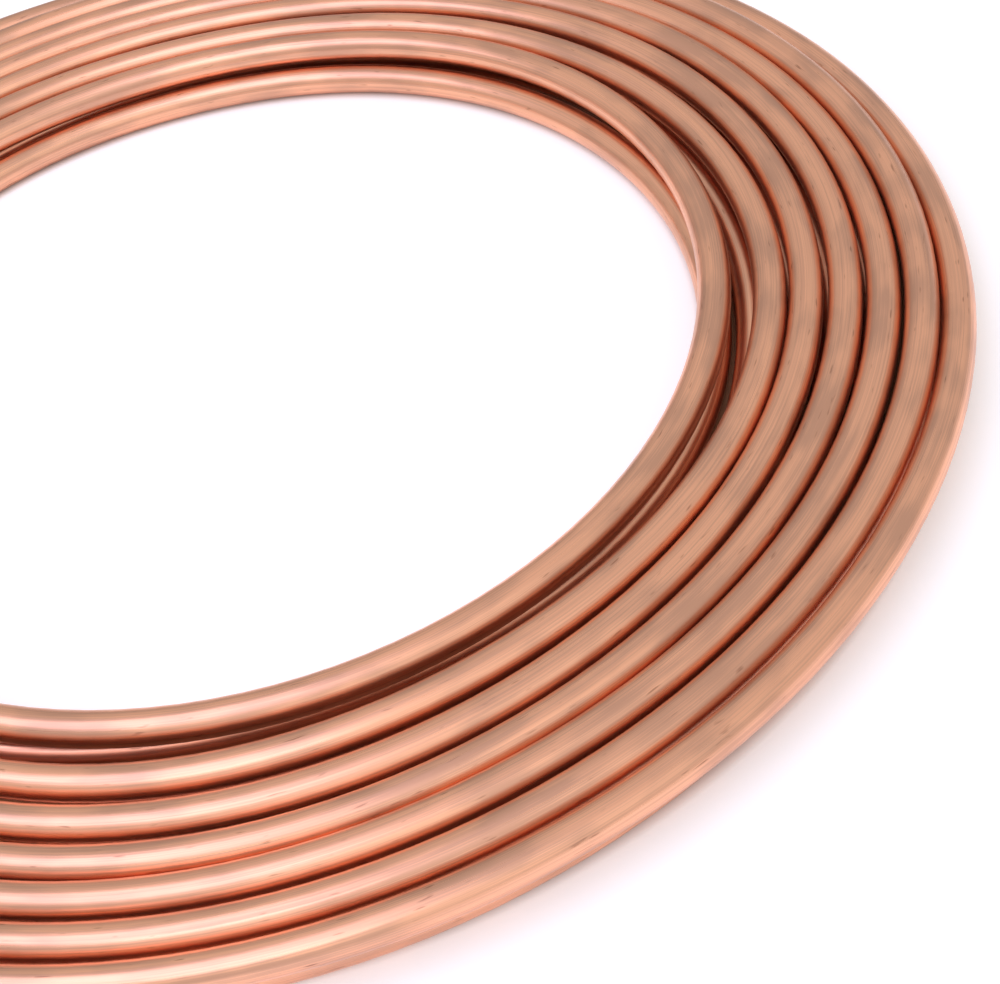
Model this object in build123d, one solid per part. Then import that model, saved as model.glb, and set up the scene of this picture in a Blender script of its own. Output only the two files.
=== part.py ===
from build123d import *
import os
from math import asin, atan, cos, degrees, pi, radians, sin, sqrt, tan

# A flat coil of soft copper tube: one length of tube, wound in two layers round an open eye.
#
# Units are millimetres. +Z is up, along the coil's axis, and the origin is where that axis meets the
# surface that the coil lies on.
#
# The tube is followed outwards from the middle of its change-over, where it steps up from the lower
# layer to the upper one against the eye. From there each layer winds outwards to its own cut end. A
# layer is half a turn of true arc at a time, and each half turn's radius is half a pitch larger than
# the last one's. Arcs that meet head on keep one tangent, so the half turns are struck in turn from
# two centres, a quarter pitch to each side of the axis. The innermost turn is held by nothing inside
# it, so it stands further off the next one, and its second half has a centre of its own. The lower
# layer is the upper one's route turned over, about the radius through the middle of the change-over,
# and given its own length.

# The tube: 3/8 in outside with a 0.032 in wall, from a 50 ft coil
TUBE_OUTSIDE = 9.525
TUBE_WALL = 0.813
TUBE_LENGTH = 15240.0

# The winding
INNER_RADIUS = 144.5  # of the innermost half turn's centre line
INNER_TURN_GAP = 4.6  # clear space between a layer's innermost turn and the next one
TURN_GAP = 1.2  # clear space between neighbouring turns of a layer, further out
LAYER_GAP = 0.15  # clear space between the two layers
UPPER_LAYER_EXTRA = 1330.0  # tube that the upper layer holds beyond what the lower one holds

# The change-over: two banked arcs, one each side of its middle
CHANGE_OVER_SWEEP = 45.0  # degrees of each banked arc

# The two ends: the tube eases off the coil, runs straight and is cut square
END_EASE_RADIUS = 400.0
END_EASE_SWEEP = 15.0  # degrees
END_STRAIGHT = 40.0
END_DEBURR = 0.15  # chamfer on both rims of each cut

NODE = "copper_tube"

tube_radius = TUBE_OUTSIDE / 2
bore_radius = tube_radius - TUBE_WALL
inner_pitch = TUBE_OUTSIDE + INNER_TURN_GAP
pitch = TUBE_OUTSIDE + TURN_GAP
layer_rise = TUBE_OUTSIDE + LAYER_GAP
lower_level = tube_radius
upper_level = lower_level + layer_rise
change_over_level = lower_level + layer_rise / 2
UP = Vector(0, 0, 1)


def change_over_arc():
    """The banked arc from the middle of the change-over up to the upper layer's level.

    Its plane holds the level tangent where the arc ends, and leans down towards the eye. The lean and
    the radius are those that lift the tube by half the layers' rise and bring it in, level and
    tangent, on the innermost half turn.
    """
    sweep = radians(CHANGE_OVER_SWEEP)
    drop = 1 - cos(sweep)
    steepness = (layer_rise / 2 / (INNER_RADIUS * drop)) ** 2
    half_sum = (1 + 2 * steepness * drop) / 2
    product = steepness * (1 + steepness * drop**2)
    lean = asin(sqrt((half_sum - sqrt(half_sum**2 - product)) / (1 + steepness * drop**2)))
    radius = INNER_RADIUS * cos(lean) / (1 - sin(lean) ** 2 * drop)

    # Seen from above, the arc starts at 180 degrees about the half turn's centre and ends at this angle
    end_angle = pi + atan(tan(sweep) * cos(lean))
    outward = Vector(cos(end_angle), sin(end_angle), 0)
    ahead = UP.cross(outward)
    end = Vector(pitch / 4, 0, upper_level) + outward * INNER_RADIUS
    from_centre = outward * cos(lean) + UP * sin(lean)
    plane = Plane(origin=end - from_centre * radius, x_dir=from_centre, z_dir=from_centre.cross(ahead))
    arc = Edge.make_circle(radius, plane, start_angle=360 - CHANGE_OVER_SWEEP, end_angle=360)
    return arc, end_angle


def bend(edges, radius, sweep):
    """Carry the route on from its last edge with a level arc to the left, sweep in radians."""
    start, ahead = edges[-1] @ 1, edges[-1] % 1
    from_centre = ahead.cross(UP)
    plane = Plane(origin=start - from_centre * radius, x_dir=from_centre, z_dir=UP)
    edges.append(Edge.make_circle(radius, plane, start_angle=0, end_angle=degrees(sweep)))


def layer_route(length):
    """The upper layer's centre line, from the middle of the change-over out to its cut end."""
    arc, angle = change_over_arc()
    edges = [arc]
    ease = radians(END_EASE_SWEEP)
    to_wind = length - arc.length - END_EASE_RADIUS * ease - END_STRAIGHT

    radius, sweep, half_turns = INNER_RADIUS, 2 * pi - angle, 0
    while to_wind > radius * sweep:
        bend(edges, radius, sweep)
        to_wind -= radius * sweep
        half_turns += 1
        radius += (inner_pitch if half_turns <= 2 else pitch) / 2
        sweep = pi
    bend(edges, radius, to_wind / radius)

    bend(edges, END_EASE_RADIUS, ease)
    edges.append(Edge.make_line(edges[-1] @ 1, edges[-1] @ 1 + (edges[-1] % 1) * END_STRAIGHT))
    return edges


def copper_tube(route):
    """The tube's ring section carried along its centre line, with the burr taken off both cuts."""
    section = Circle(tube_radius) - Circle(bore_radius)
    tube = sweep(Plane(origin=route @ 0, z_dir=route % 0) * section, path=route)
    return chamfer(tube.faces().filter_by(GeomType.PLANE).edges(), END_DEBURR)


turned_over = Axis((0, 0, change_over_level), (1, 0, 0))
upper_layer = layer_route((TUBE_LENGTH + UPPER_LAYER_EXTRA) / 2)
lower_layer = [edge.rotate(turned_over, 180) for edge in layer_route((TUBE_LENGTH - UPPER_LAYER_EXTRA) / 2)]
route = Wire(lower_layer[::-1] + upper_layer)
tube = copper_tube(route)

os.makedirs("parts", exist_ok=True)
export_step(tube, f"parts/{NODE}.step")

section_area = pi * (tube_radius**2 - bore_radius**2)
print("length", round(route.length, 2))
print("volume over section times length", tube.volume / section_area / route.length)
print("box", tube.bounding_box())
for name, layer in (("lower end", lower_layer), ("upper end", upper_layer)):
    print(name, "middle of the straight", layer[-1] @ 0.5, "pointing", layer[-1] % 1)
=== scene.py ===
"""A flat coil of soft copper tube on a white studio floor.

The tube is one closed surface: its outside is carried along the winding from one cut end to the other,
and its bore is carried back inside it. The winding is the frame's, half turn by half turn, with the
strays that a soft coil picks up in handling.
"""

import logging
from dataclasses import dataclass
from enum import Enum

import bpy
import numpy as np
from mathutils import Matrix, Vector


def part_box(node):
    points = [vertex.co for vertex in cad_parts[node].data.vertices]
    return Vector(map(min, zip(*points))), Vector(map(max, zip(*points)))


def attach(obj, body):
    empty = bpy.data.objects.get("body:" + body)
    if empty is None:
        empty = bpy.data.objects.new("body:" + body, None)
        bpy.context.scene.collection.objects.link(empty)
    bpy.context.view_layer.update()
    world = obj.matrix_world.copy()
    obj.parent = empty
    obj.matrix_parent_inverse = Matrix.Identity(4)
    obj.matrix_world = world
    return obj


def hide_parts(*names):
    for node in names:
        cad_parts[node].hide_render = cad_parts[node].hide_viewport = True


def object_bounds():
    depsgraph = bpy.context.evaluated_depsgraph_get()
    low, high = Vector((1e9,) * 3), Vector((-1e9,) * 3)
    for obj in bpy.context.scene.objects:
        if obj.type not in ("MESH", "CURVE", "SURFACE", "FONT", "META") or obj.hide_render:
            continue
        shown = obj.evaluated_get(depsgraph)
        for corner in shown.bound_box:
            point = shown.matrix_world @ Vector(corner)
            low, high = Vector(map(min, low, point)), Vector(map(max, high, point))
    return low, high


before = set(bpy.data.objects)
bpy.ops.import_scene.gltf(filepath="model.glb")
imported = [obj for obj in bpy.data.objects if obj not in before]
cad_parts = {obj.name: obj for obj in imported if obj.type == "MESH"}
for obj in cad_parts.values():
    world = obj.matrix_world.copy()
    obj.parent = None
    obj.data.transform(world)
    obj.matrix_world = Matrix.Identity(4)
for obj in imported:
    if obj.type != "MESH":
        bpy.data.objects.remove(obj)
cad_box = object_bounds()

log = logging.getLogger("coil")

MM = 0.001  # a millimetre, in the scene's metres
HALF_TURN = 180.0  # degrees
MIX_A, MIX_B, MIX_RESULT = 6, 7, 2  # a colour mix's sockets, which share their names with other types
GLOSSY_BOUNCES = 10  # enough for light to find its way down between the turns
SHARP = 30.0  # degrees between faces at which an edge is shaded sharp, as at the cut ends

Pair = tuple[float, float]
Socket = bpy.types.NodeSocket


def linear(hex_colour: str) -> tuple[float, float, float, float]:
    """Turns an sRGB hex colour to the linear values that a socket takes.

    Args:
        hex_colour: six hex digits after a hash sign.

    Returns:
        Red, green, blue and an alpha of 1.
    """
    srgb = np.array([int(hex_colour[i : i + 2], 16) for i in (1, 3, 5)]) / 255
    values = np.where(srgb <= 0.04045, srgb / 12.92, ((srgb + 0.055) / 1.055) ** 2.4)
    return (*values.tolist(), 1.0)


def add(tree: bpy.types.NodeTree, kind: str, inputs: dict | None = None, **settings) -> bpy.types.Node:
    """Adds a node with its settings and links.

    Args:
        tree: the node tree that the node goes into.
        kind: Blender's name for the type of node.
        inputs: for an input's name or number, a value or the output that feeds it.
        settings: the node's own properties.

    Returns:
        The new node.
    """
    node = tree.nodes.new(kind)
    for name, value in settings.items():
        setattr(node, name, value)
    for key, value in (inputs or {}).items():
        if isinstance(value, Socket):
            tree.links.new(value, node.inputs[key])
        else:
            node.inputs[key].default_value = value
    return node


def closed_grid(name: str, points: np.ndarray) -> bpy.types.Object:
    """Makes a mesh from a grid of points that closes on itself both ways.

    A face takes the corners (i, j), (i + 1, j), (i + 1, j + 1) and (i, j + 1), counted round.

    Args:
        name: the object's name.
        points: rings of points in metres, shaped (rings, sides, 3).

    Returns:
        The object, shaded smooth but for its sharp edges.
    """
    rings, sides = points.shape[:2]
    i, j = np.meshgrid(np.arange(rings), np.arange(sides), indexing="ij")
    i_next, j_next = (i + 1) % rings, (j + 1) % sides
    here, ahead = i * sides, i_next * sides
    corners = np.stack([here + j, ahead + j, ahead + j_next, here + j_next], axis=-1)

    mesh = bpy.data.meshes.new(name)
    mesh.vertices.add(rings * sides)
    mesh.vertices.foreach_set("co", points.ravel())
    mesh.loops.add(corners.size)
    mesh.loops.foreach_set("vertex_index", corners.ravel().astype(np.int32))
    mesh.polygons.add(rings * sides)
    mesh.polygons.foreach_set("loop_start", np.arange(0, corners.size, 4, dtype=np.int32))
    mesh.update(calc_edges=True)
    mesh.shade_smooth()
    mesh.set_sharp_from_angle(angle=np.radians(SHARP))
    grid = bpy.data.objects.new(name, mesh)
    bpy.context.scene.collection.objects.link(grid)
    return grid


@dataclass(frozen=True)
class Marks:
    """Marks of one kind, drawn out along the tube, that show where a stretched noise is strong."""

    along: float  # mm, the noise's size, as is across
    across: float
    detail: float  # octaves of finer noise
    start: float  # the noise at which the marks begin to show
    full: float  # the noise from which they show fully
    strength: float = 1.0

    def lay(self, tree: bpy.types.NodeTree, unrolled: Socket) -> tuple[Socket, Socket]:
        """Lays the marks along the tube.

        Args:
            tree: the material's nodes.
            unrolled: the place on the unrolled tube, in metres.

        Returns:
            The noise, from 0 to 1 about a middle of 0.5, and how strongly the marks show.
        """
        per_metre = (1 / (self.along * MM), 1 / (self.across * MM), 1 / (self.across * MM))
        place = add(tree, "ShaderNodeVectorMath", {0: unrolled, 1: per_metre}, operation="MULTIPLY")
        stretched = {"Vector": place.outputs[0], "Scale": 1.0, "Detail": self.detail}
        noise = add(tree, "ShaderNodeTexNoise", stretched).outputs["Fac"]
        shown = {"Value": noise, "From Min": self.start, "From Max": self.full, "To Max": self.strength}
        return noise, add(tree, "ShaderNodeMapRange", shown).outputs[0]


@dataclass(frozen=True)
class DrawnCopper:
    """Soft copper tube, drawn bright and annealed.

    The eye sees a warm satin metal with fine streaks along its length, soft grey-pink clouds where it was
    handled, and a few short dark scuffs. The streaks are a little coarser than real, to show.
    """

    name: str = "drawn_soft_copper"
    bright: str = "#F9B996"
    handled: str = "#D6A287"
    scuffed: str = "#7C4634"
    streaks: Marks = Marks(along=70.0, across=0.40, detail=3.0, start=0.40, full=0.68, strength=0.7)
    clouds: Marks = Marks(along=26.0, across=7.0, detail=2.0, start=0.45, full=0.72)
    scuffs: Marks = Marks(along=7.0, across=0.9, detail=1.0, start=0.70, full=0.80, strength=0.5)
    streak_height: float = 0.015  # mm
    roughness: Pair = (0.27, 0.40)
    roughness_span: Pair = (0.30, 0.70)  # the streaks' noise at which the roughness has those values

    def material(self) -> bpy.types.Material:
        """Makes the copper, with its marks laid along the tube.

        Streaks and clouds dull the bright colour towards the handled one, and scuffs darken both.

        Returns:
            The material.
        """
        copper = bpy.data.materials.new(self.name)
        copper.use_nodes = True
        tree = copper.node_tree
        unrolled = add(tree, "ShaderNodeAttribute", attribute_name="unrolled").outputs["Vector"]
        streak, lines = self.streaks.lay(tree, unrolled)
        clouds = self.clouds.lay(tree, unrolled)[1]
        scuffs = self.scuffs.lay(tree, unrolled)[1]

        dulled = add(tree, "ShaderNodeMath", {0: clouds, 1: lines}, operation="ADD", use_clamp=True)
        colours = {0: dulled.outputs[0], MIX_A: linear(self.bright), MIX_B: linear(self.handled)}
        handled = add(tree, "ShaderNodeMix", colours, data_type="RGBA").outputs[MIX_RESULT]
        colours = {0: scuffs, MIX_A: handled, MIX_B: linear(self.scuffed)}
        colour = add(tree, "ShaderNodeMix", colours, data_type="RGBA").outputs[MIX_RESULT]

        (low, high), (smooth, rough) = self.roughness_span, self.roughness
        levels = {"Value": streak, "From Min": low, "From Max": high, "To Min": smooth, "To Max": rough}
        roughness = add(tree, "ShaderNodeMapRange", levels).outputs[0]
        relief = {"Height": streak, "Distance": self.streak_height * MM, "Strength": 1.0}
        normal = add(tree, "ShaderNodeBump", relief).outputs[0]

        shader = tree.nodes["Principled BSDF"]
        shader.inputs["Metallic"].default_value = 1.0
        tree.links.new(colour, shader.inputs["Base Color"])
        tree.links.new(roughness, shader.inputs["Roughness"])
        tree.links.new(normal, shader.inputs["Normal"])
        return copper


class Layer(Enum):
    """The two layers of the winding. The lower one is the upper one turned over, about the X axis."""

    UPPER = 1
    LOWER = -1


@dataclass(frozen=True)
class Stray:
    """A stretch where turns stray from the even winding, as a smooth hump along each.

    The hump is exp(-(distance / spread) ** shoulder), so a larger shoulder has a flatter top.
    """

    layer: Layer
    turns: tuple[int, ...]  # counted from the innermost
    bearing: float  # degrees, of the hump's middle, seen from above
    spread: float  # degrees
    outward: float = 0.0  # mm
    drop: float = 0.0  # mm
    shoulder: float = 2.0

    def hump(self, angle: np.ndarray) -> np.ndarray:
        """Works out how much of the stray applies.

        Args:
            angle: degrees wound, from the middle of the change-over.

        Returns:
            A share from 0 to 1 for each angle.
        """
        first = (self.layer.value * self.bearing + HALF_TURN) % 360
        away = [np.abs(angle - first - 360 * (turn - 1)) for turn in self.turns]
        return np.sum(np.exp(-((np.array(away) / self.spread) ** self.shoulder)), axis=0)


@dataclass
class CopperCoil:
    """The coil: a tube in two layers, each wound outwards from the change-over at the eye.

    Sizes are in mm. The strays were read off the photograph turn by turn. Where they press neighbours
    together, the tubes overlap by 0.3 mm at most.
    """

    outside: float = 9.525
    wall: float = 0.813
    length: float = 15240.0
    deburr: float = 0.15
    inner_radius: float = 144.5  # of the innermost half turn's centre line
    inner_gap: float = 4.6  # between a layer's innermost turn and the next one
    gap: float = 1.2  # between neighbouring turns further out
    upper_extra: float = 1330.0  # tube in the upper layer beyond what the lower one holds
    change_over: float = 45.0  # degrees from the change-over's middle to the layer's level
    ease_radius: float = 400.0
    ease_sweep: float = 15.0  # degrees
    straight: float = 40.0
    step: float = 8.0  # between the mesh's rings, along the tube
    sides: int = 28  # of each ring

    strays: tuple[Stray, ...] = (
        Stray(Layer.UPPER, (1,), bearing=38, spread=38, outward=4.2),
        Stray(Layer.UPPER, (1,), bearing=60, spread=35, outward=0.4),
        Stray(Layer.UPPER, (1,), bearing=80, spread=35, outward=-2.2),
        Stray(Layer.UPPER, (2,), bearing=-112, spread=25, outward=2.2),
        Stray(Layer.UPPER, (2,), bearing=-35, spread=30, outward=1.2),
        Stray(Layer.UPPER, (2,), bearing=10, spread=60, outward=1.0),
        Stray(Layer.UPPER, (2,), bearing=77, spread=21, outward=-2.2),
        Stray(Layer.UPPER, (3, 4, 5, 6, 7), bearing=-112, spread=32, outward=3.0),
        Stray(Layer.UPPER, (3, 4, 5, 6), bearing=104, spread=25, outward=0.9),
        Stray(Layer.UPPER, (3, 4), bearing=-70, spread=55, outward=0.5),
        Stray(Layer.UPPER, (3,), bearing=40, spread=55, outward=3.2),
        Stray(Layer.UPPER, (3,), bearing=72, spread=25, outward=-1.6),
        Stray(Layer.UPPER, (4,), bearing=-105, spread=30, outward=0.5),
        Stray(Layer.UPPER, (4,), bearing=25, spread=45, outward=3.0),
        Stray(Layer.UPPER, (4, 5), bearing=104, spread=25, outward=0.8),
        Stray(Layer.UPPER, (5,), bearing=-88, spread=20, outward=-0.4),
        Stray(Layer.UPPER, (5,), bearing=15, spread=45, outward=1.7, drop=0.6),
        Stray(Layer.UPPER, (6,), bearing=15, spread=40, outward=0.7),
        Stray(Layer.UPPER, (7,), bearing=0, spread=55, outward=-0.9, shoulder=4),
        Stray(Layer.UPPER, (7,), bearing=30, spread=65, drop=3.9, shoulder=6),
        Stray(Layer.LOWER, (1,), bearing=-105, spread=45, outward=-11.0, shoulder=2.5),
        Stray(Layer.LOWER, (1,), bearing=10, spread=32, outward=-2.2),
        Stray(Layer.LOWER, (1,), bearing=108, spread=20, outward=2.0),
        Stray(Layer.LOWER, (2,), bearing=-12, spread=40, outward=-4.6),
        Stray(Layer.LOWER, (3, 4, 5, 6), bearing=-105, spread=45, outward=3.0),
        Stray(Layer.LOWER, (3, 4, 5), bearing=-20, spread=40, outward=-3.5),
        Stray(Layer.LOWER, (6,), bearing=-15, spread=35, outward=2.2),
    )

    def levels(self) -> Pair:
        """Gives the centre line's heights in the lower and the upper layer, from the frame."""
        low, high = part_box("copper_tube")
        return low[2] / MM + self.outside / 2, high[2] / MM - self.outside / 2

    def half_turns(self, length: float) -> tuple[np.ndarray, np.ndarray, np.ndarray, np.ndarray]:
        """Divides a layer's tube into half turns, each an arc that meets the last one head on.

        A half turn's radius is half a pitch more than the last one's, and its centre moves along X by as
        much, away from the joint between them, so that the two keep one tangent there.

        Args:
            length: the tube that the layer winds.

        Returns:
            For each half turn its radius and its centre's x, and at each joint the length and the degrees
            wound so far.
        """
        inner_pitch, pitch = self.outside + self.inner_gap, self.outside + self.gap
        radius, centre = [self.inner_radius], [pitch / 4]
        wound = [0.0, np.pi * self.inner_radius]
        while wound[-1] < length:
            growth = (inner_pitch if len(radius) <= 2 else pitch) / 2
            side = 1 if len(radius) % 2 else -1
            centre.append(centre[-1] - side * growth)
            radius.append(radius[-1] + growth)
            wound.append(wound[-1] + np.pi * radius[-1])
        return np.array(radius), np.array(centre), np.array(wound), HALF_TURN * np.arange(len(wound))

    def layer_route(self, layer: Layer) -> np.ndarray:
        """Follows a layer's centre line, from the middle of the change-over out to the cut end.

        A point of the winding lies at its half turn's radius from its half turn's centre, moved out by the
        strays. Its height falls off towards the change-over's middle as one minus the cosine does, and the
        slope takes up two thirds of climb squared over run more tube than lying flat would. The last half
        turn eases into an arc of a larger radius, and that into a straight.

        Args:
            layer: which layer.

        Returns:
            The points in mm, one row each.
        """
        lower, upper = self.levels()
        climb = (upper - lower) / 2
        sweep, ease = np.radians(self.change_over), np.radians(self.ease_sweep)
        slope_extra = 2 / 3 * climb**2 / (self.inner_radius * sweep)
        own_length = (self.length + layer.value * self.upper_extra) / 2 - slope_extra
        to_wind = own_length - self.ease_radius * ease - self.straight
        radius, centre, wound, joints = self.half_turns(to_wind)

        angle = np.interp(np.linspace(0, to_wind, int(to_wind / self.step)), wound, joints)
        half = (angle // HALF_TURN).astype(int)
        bearing = np.radians(angle + HALF_TURN)
        strays = [stray for stray in self.strays if stray.layer is layer]
        reach = radius[half] + sum(stray.outward * stray.hump(angle) for stray in strays)

        short = np.maximum(sweep - np.radians(angle), 0)
        fall = climb * (1 - np.cos(short)) / (1 - np.cos(sweep))
        height = upper - fall - layer.value * sum(stray.drop * stray.hump(angle) for stray in strays)
        coil = np.column_stack([centre[half] + reach * np.cos(bearing), reach * np.sin(bearing), height])

        turned = bearing[-1] + np.linspace(0, ease, int(self.ease_radius * ease / self.step))
        rim = np.column_stack([np.cos(turned), np.sin(turned), np.zeros_like(turned)])
        eased = coil[-1] + self.ease_radius * (rim[1:] - rim[0])
        ahead = np.array([-rim[-1, 1], rim[-1, 0], 0])
        run = np.linspace(0, self.straight, int(self.straight / self.step))[1:, None]
        route = np.vstack([coil, eased, eased[-1] + run * ahead])
        if layer is Layer.LOWER:
            route = route * [1, -1, -1] + [0, 0, lower + upper]
        return route

    def tube(self) -> bpy.types.Object:
        """Builds the tube's outside and bore as one closed grid of rings.

        A ring's point is its centre plus its radius times (cos v of the side, sin v of up). The rings run
        along the outside, across the second cut, back along the bore at every second point of the route,
        and across the first cut.

        Returns:
            The tube, with an attribute that holds each point's place on the tube as if it lay unrolled.
        """
        route = np.vstack([self.layer_route(Layer.LOWER)[:0:-1], self.layer_route(Layer.UPPER)])
        ahead = np.gradient(route, axis=0)
        ahead /= np.linalg.norm(ahead, axis=1, keepdims=True)
        side = np.cross(ahead, [0, 0, 1])
        side /= np.linalg.norm(side, axis=1, keepdims=True)
        up = np.cross(side, ahead)
        along = np.concatenate([[0], np.cumsum(np.linalg.norm(np.diff(route, axis=0), axis=1))])

        last = len(route) - 1
        outer, bore = self.outside / 2, self.outside / 2 - self.wall
        there, back = np.arange(last + 1), np.append(np.arange(last, 0, -2), 0)
        at = np.concatenate([there, [last, last], back, [0, 0]])
        rims = [outer - self.deburr, bore + self.deburr]
        radius = np.concatenate([np.full(len(there), outer), rims, np.full(len(back), bore), rims[::-1]])
        inset = np.zeros(len(at))
        inset[[0, -3]] = self.deburr
        inset[[last, last + 3]] = -self.deburr

        around = np.linspace(0, 2 * np.pi, self.sides, endpoint=False)
        spoke = np.cos(around)[:, None] * side[at][:, None] + np.sin(around)[:, None] * up[at][:, None]
        points = (route[at] + ahead[at] * inset[:, None])[:, None] + radius[:, None, None] * spoke

        unrolled = np.empty_like(points)
        unrolled[..., 0] = (along[at] + inset)[:, None]
        unrolled[..., 1] = radius[:, None] * np.cos(around)
        unrolled[..., 2] = radius[:, None] * np.sin(around)

        tube = closed_grid("copper_tube_coil", points * MM)
        placed = tube.data.attributes.new("unrolled", "FLOAT_VECTOR", "POINT")
        placed.data.foreach_set("vector", (unrolled * MM).ravel())
        log.info("%s: %.0f mm long, %d rings of %d sides", tube.name, along[-1], len(at), self.sides)
        return tube

    def build(self, finish: DrawnCopper) -> bpy.types.Object:
        """Builds the tube, dresses it and puts it in the CAD node's place.

        Args:
            finish: the tube's finish.

        Returns:
            The tube.
        """
        tube = self.tube()
        tube.data.materials.append(finish.material())
        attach(tube, "root")
        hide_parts("copper_tube")
        return tube


@dataclass(frozen=True)
class Studio:
    """A white floor under one large overhead softbox, in a pale room. Sizes are in metres.

    The room darkens towards the horizon on the far side, and is brightest halfway up the camera's side.
    """

    floor_size: float = 40.0
    floor_colour: str = "#F4F4F4"
    painted_shade_colour: str = "#B07E60"  # painted shade in the brown of light off copper, on the floor between the coil's inner and outer turns
    painted_shade_band: Pair = (0.177, 0.037)  # that ring's middle, from the axis, and half its width
    painted_shade_band_edge: float = 0.006
    floor_lift: float = 0.25  # what the floor adds of its own to what the lamps give it, to read as white
    softbox_middle: tuple[float, float, float] = (-0.93, -0.95, 1.78)
    softbox_size: Pair = (1.7, 2.7)
    softbox_tilt: float = -28.0  # degrees about the X axis, which hangs its far edge lower
    softbox_radiance: float = 1.82
    softbox_colour: str = "#DCD5FF"
    room_radiance: Pair = (0.50, 0.72)  # where it is darkest and brightest
    room_lean: float = 20.0  # degrees that its brightest part leans from overhead to the camera's side
    room_span: Pair = (-0.20, 0.45)  # cosines of the angle from there, between darkest and brightest
    window_radiance: float = 0.45  # of the soft brightness on the camera's side
    window_lean: float = 45.0
    window_span: Pair = (0.72, 1.0)

    def painted_shade_mask(self, tree: bpy.types.NodeTree) -> Socket:
        """Adds a share that is 1 in the ring of painted shade under the coil and 0 elsewhere, by the
        distance from the axis.

        Args:
            tree: the floor's nodes.

        Returns:
            The share.
        """
        middle, half_width = self.painted_shade_band
        place = add(tree, "ShaderNodeTexCoord").outputs["Object"]
        from_axis = add(tree, "ShaderNodeVectorMath", {0: place}, operation="LENGTH").outputs["Value"]
        off_middle = add(tree, "ShaderNodeMath", {0: from_axis, 1: middle}, operation="SUBTRACT").outputs[0]
        off_middle = add(tree, "ShaderNodeMath", {0: off_middle}, operation="ABSOLUTE").outputs[0]
        band = {"Value": off_middle, "From Min": half_width, "From Max": half_width - self.painted_shade_band_edge}
        return add(tree, "ShaderNodeMapRange", band).outputs[0]

    def floor(self) -> bpy.types.Object:
        """Lays the floor at the coil's underside.

        Its material is matt white. The camera, and rays that metal mirrors or glass lets through, see a
        little light of its own added, so that it reads as white and keeps the coil's shadow. Under the
        coil it is painted with shade in the brown of light off copper, standing in for the shaded gaps
        between the turns, and adds no light.

        Returns:
            The floor.
        """
        level = cad_box[0][2]
        reach = self.floor_size / 2
        corners = [(x * reach, y * reach, level) for x, y in ((-1, -1), (1, -1), (1, 1), (-1, 1))]
        mesh = bpy.data.meshes.new("floor")
        mesh.from_pydata(corners, [], [(0, 1, 2, 3)])
        floor = bpy.data.objects.new("floor", mesh)
        bpy.context.scene.collection.objects.link(floor)

        paper = bpy.data.materials.new("matt_white_paper_with_painted_shade")
        paper.use_nodes = True
        tree = paper.node_tree
        tree.nodes.clear()
        # painted shade: a copper-brown ring on the floor under the coil, which shows through the gaps
        # between the turns
        under = self.painted_shade_mask(tree)
        colours = {0: under, MIX_A: linear(self.floor_colour), MIX_B: linear(self.painted_shade_colour)}
        colour = add(tree, "ShaderNodeMix", colours, data_type="RGBA").outputs[MIX_RESULT]
        matt = add(tree, "ShaderNodeBsdfDiffuse", {"Color": colour})

        ray = add(tree, "ShaderNodeLightPath").outputs
        seen = add(tree, "ShaderNodeMath", {0: ray["Is Camera Ray"], 1: ray["Is Glossy Ray"]}).outputs[0]
        seen = add(tree, "ShaderNodeMath", {0: seen, 1: ray["Is Transmission Ray"]}).outputs[0]
        # the ring of painted shade gets none of the floor's own added light
        open_floor = add(tree, "ShaderNodeMath", {0: 1.0, 1: under}, operation="SUBTRACT").outputs[0]
        lift = add(tree, "ShaderNodeMath", {0: seen, 1: self.floor_lift}, operation="MULTIPLY").outputs[0]
        lift = add(tree, "ShaderNodeMath", {0: lift, 1: open_floor}, operation="MULTIPLY").outputs[0]
        glow = add(tree, "ShaderNodeEmission", {"Strength": lift})
        both = add(tree, "ShaderNodeAddShader", {0: matt.outputs[0], 1: glow.outputs[0]})
        add(tree, "ShaderNodeOutputMaterial", {"Surface": both.outputs[0]})
        mesh.materials.append(paper)
        return floor

    def softbox(self) -> bpy.types.Object:
        """Hangs the softbox. Its power is pi times its radiance and its area.

        Returns:
            The softbox.
        """
        width, depth = self.softbox_size
        lamp = bpy.data.lights.new("softbox", "AREA")
        lamp.shape, lamp.size, lamp.size_y = "RECTANGLE", width, depth
        lamp.energy = np.pi * self.softbox_radiance * width * depth
        lamp.color = linear(self.softbox_colour)[:3]
        hung = bpy.data.objects.new("softbox", lamp)
        hung.location = self.softbox_middle
        hung.rotation_euler.x = np.radians(self.softbox_tilt)
        bpy.context.scene.collection.objects.link(hung)
        return hung

    def brightness(
        self, tree: bpy.types.NodeTree, direction: Socket, lean: float, span: Pair, radiance: Pair
    ) -> Socket:
        """Adds a brightness that grows towards one direction, by the cosine of the angle to it.

        Args:
            tree: the world's nodes.
            direction: the direction looked in.
            lean: degrees that the brightest direction leans from overhead to the camera's side.
            span: the cosines between which it grows.
            radiance: the brightness at the two ends of the span.

        Returns:
            The brightness.
        """
        brightest = (0.0, -np.sin(np.radians(lean)), np.cos(np.radians(lean)))
        cosine = add(tree, "ShaderNodeVectorMath", {0: direction, 1: brightest}, operation="DOT_PRODUCT")
        (start, full), (darkest, highest) = span, radiance
        levels = {"From Min": start, "From Max": full, "To Min": darkest, "To Max": highest}
        levels["Value"] = cosine.outputs["Value"]
        return add(tree, "ShaderNodeMapRange", levels, interpolation_type="SMOOTHSTEP").outputs[0]

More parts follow.
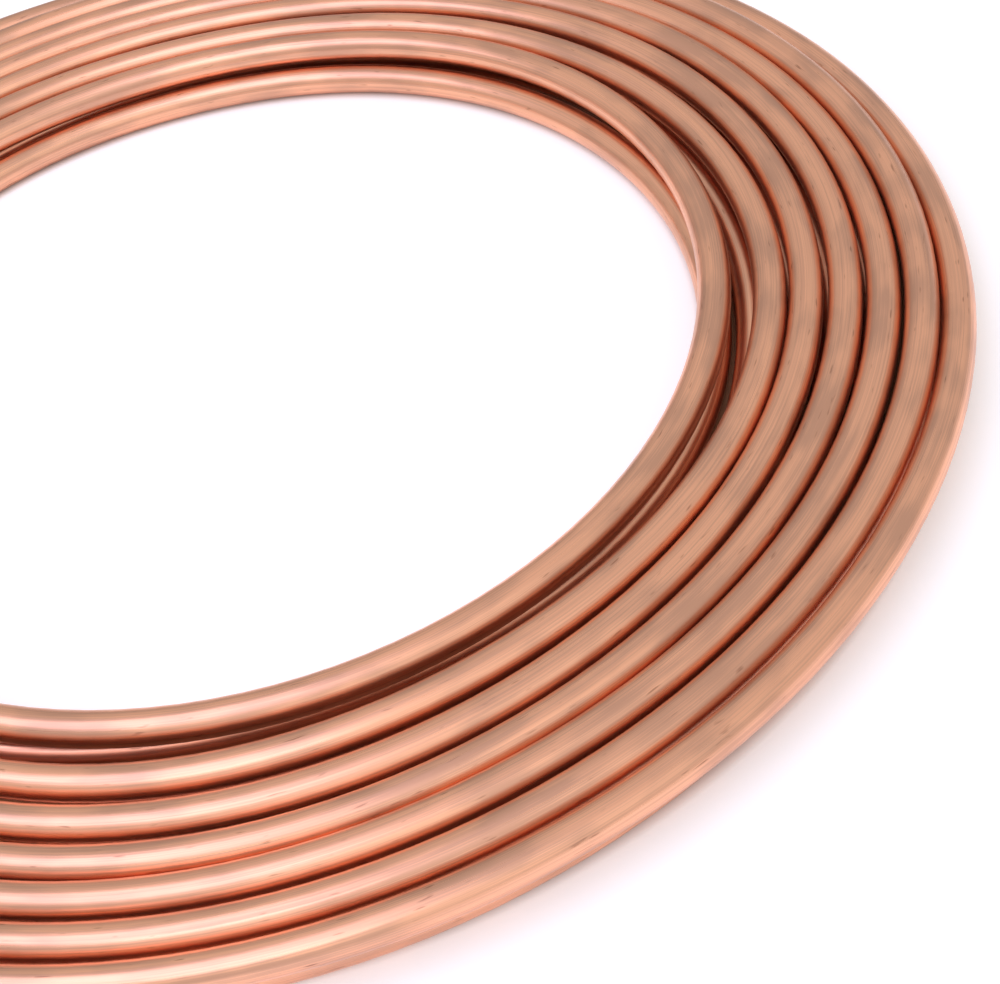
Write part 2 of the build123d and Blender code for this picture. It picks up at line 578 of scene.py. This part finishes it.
    def room(self) -> bpy.types.World:
        """Surrounds the floor with the room.

        Returns:
            The room.
        """
        room = bpy.data.worlds.new("pale_room")
        room.use_nodes = True
        bpy.context.scene.world = room
        tree = room.node_tree
        direction = add(tree, "ShaderNodeTexCoord").outputs["Generated"]
        walls = self.brightness(tree, direction, self.room_lean, self.room_span, self.room_radiance)
        window_radiance = (0.0, self.window_radiance)
        window = self.brightness(tree, direction, self.window_lean, self.window_span, window_radiance)
        strength = add(tree, "ShaderNodeMath", {0: walls, 1: window}, operation="ADD").outputs[0]
        background = tree.nodes["Background"]
        background.inputs["Color"].default_value = (1, 1, 1, 1)
        tree.links.new(strength, background.inputs["Strength"])
        return room


@dataclass(frozen=True)
class Viewpoint:
    """Where the picture is taken from: in mm, with the camera rolled about its line of sight."""

    eye: tuple[float, float, float] = (-2.45, -469.87, 380.77)
    target: tuple[float, float, float] = (58.45, -86.5, 0.0)
    roll: float = -13.74  # degrees
    lens: float = 71.96
    sensor: float = 36.0
    nearest: float = 0.01  # in metres, as is farthest
    farthest: float = 100.0

    def camera(self) -> bpy.types.Object:
        """Stands the camera at the viewpoint.

        Its axes are the line of sight, a level right hand and the up that completes them, the last two
        turned about the first by the roll.

        Returns:
            The camera.
        """
        eye, target = Vector(self.eye) * MM, Vector(self.target) * MM
        sight = (target - eye).normalized()
        right = sight.cross(Vector((0, 0, 1))).normalized()
        level = Matrix((right, right.cross(sight), -sight)).transposed()
        lens = bpy.data.cameras.new("camera")
        lens.lens, lens.sensor_width = self.lens, self.sensor
        lens.clip_start, lens.clip_end = self.nearest, self.farthest
        camera = bpy.data.objects.new("camera", lens)
        rolled = level.to_4x4() @ Matrix.Rotation(np.radians(self.roll), 4, "Z")
        camera.matrix_world = Matrix.Translation(eye) @ rolled
        bpy.context.scene.collection.objects.link(camera)
        bpy.context.scene.camera = camera
        return camera


def main() -> None:
    """Builds the studio and the coil."""
    logging.basicConfig(level=logging.INFO, format="%(name)s: %(message)s")
    bpy.context.scene.view_settings.view_transform = "Standard"
    bpy.context.scene.cycles.glossy_bounces = GLOSSY_BOUNCES
    studio = Studio()
    for piece in (studio.room(), studio.softbox(), studio.floor()):
        log.info("studio: %s", piece.name)
    log.info("viewpoint: %s", Viewpoint().camera().name)
    log.info("coil: %s", CopperCoil().build(DrawnCopper()).name)


if __name__ == "__main__":
    main()
